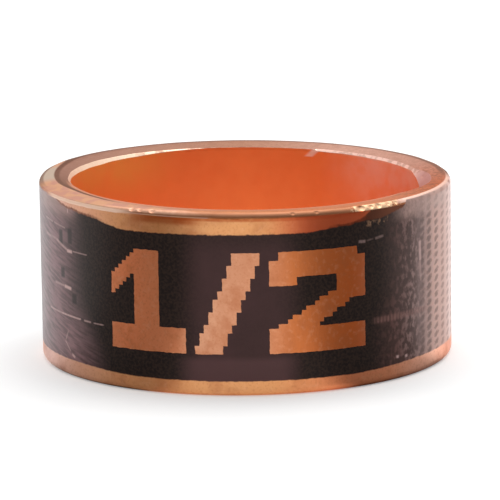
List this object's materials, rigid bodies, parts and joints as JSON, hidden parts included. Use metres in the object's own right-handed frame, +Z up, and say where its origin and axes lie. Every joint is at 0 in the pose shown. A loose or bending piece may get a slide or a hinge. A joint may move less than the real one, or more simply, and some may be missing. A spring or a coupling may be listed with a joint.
{
  "type": "pex crimp ring",
  "caption": "Short copper tube ring with rolled outer corners and a hand-deburred bore, slid over plastic water tube and squeezed tight on an insert fitting.",
  "frame": {"origin": "on the ring's axis, in the plane of the lower end that it stands on", "axes": "+Z up along the bore's axis, -Y towards the printed figures at the front, +X to their right"},
  "size_m": [0.0188, 0.0188, 0.0083],
  "materials": {
    "printed_copper": "drawn copper with a satin skin, bright bore, and a worn black printed band round the outside"
  },
  "bodies": {
    "root": {"crimp_ring": "printed_copper"}
  },
  "joints": []
}
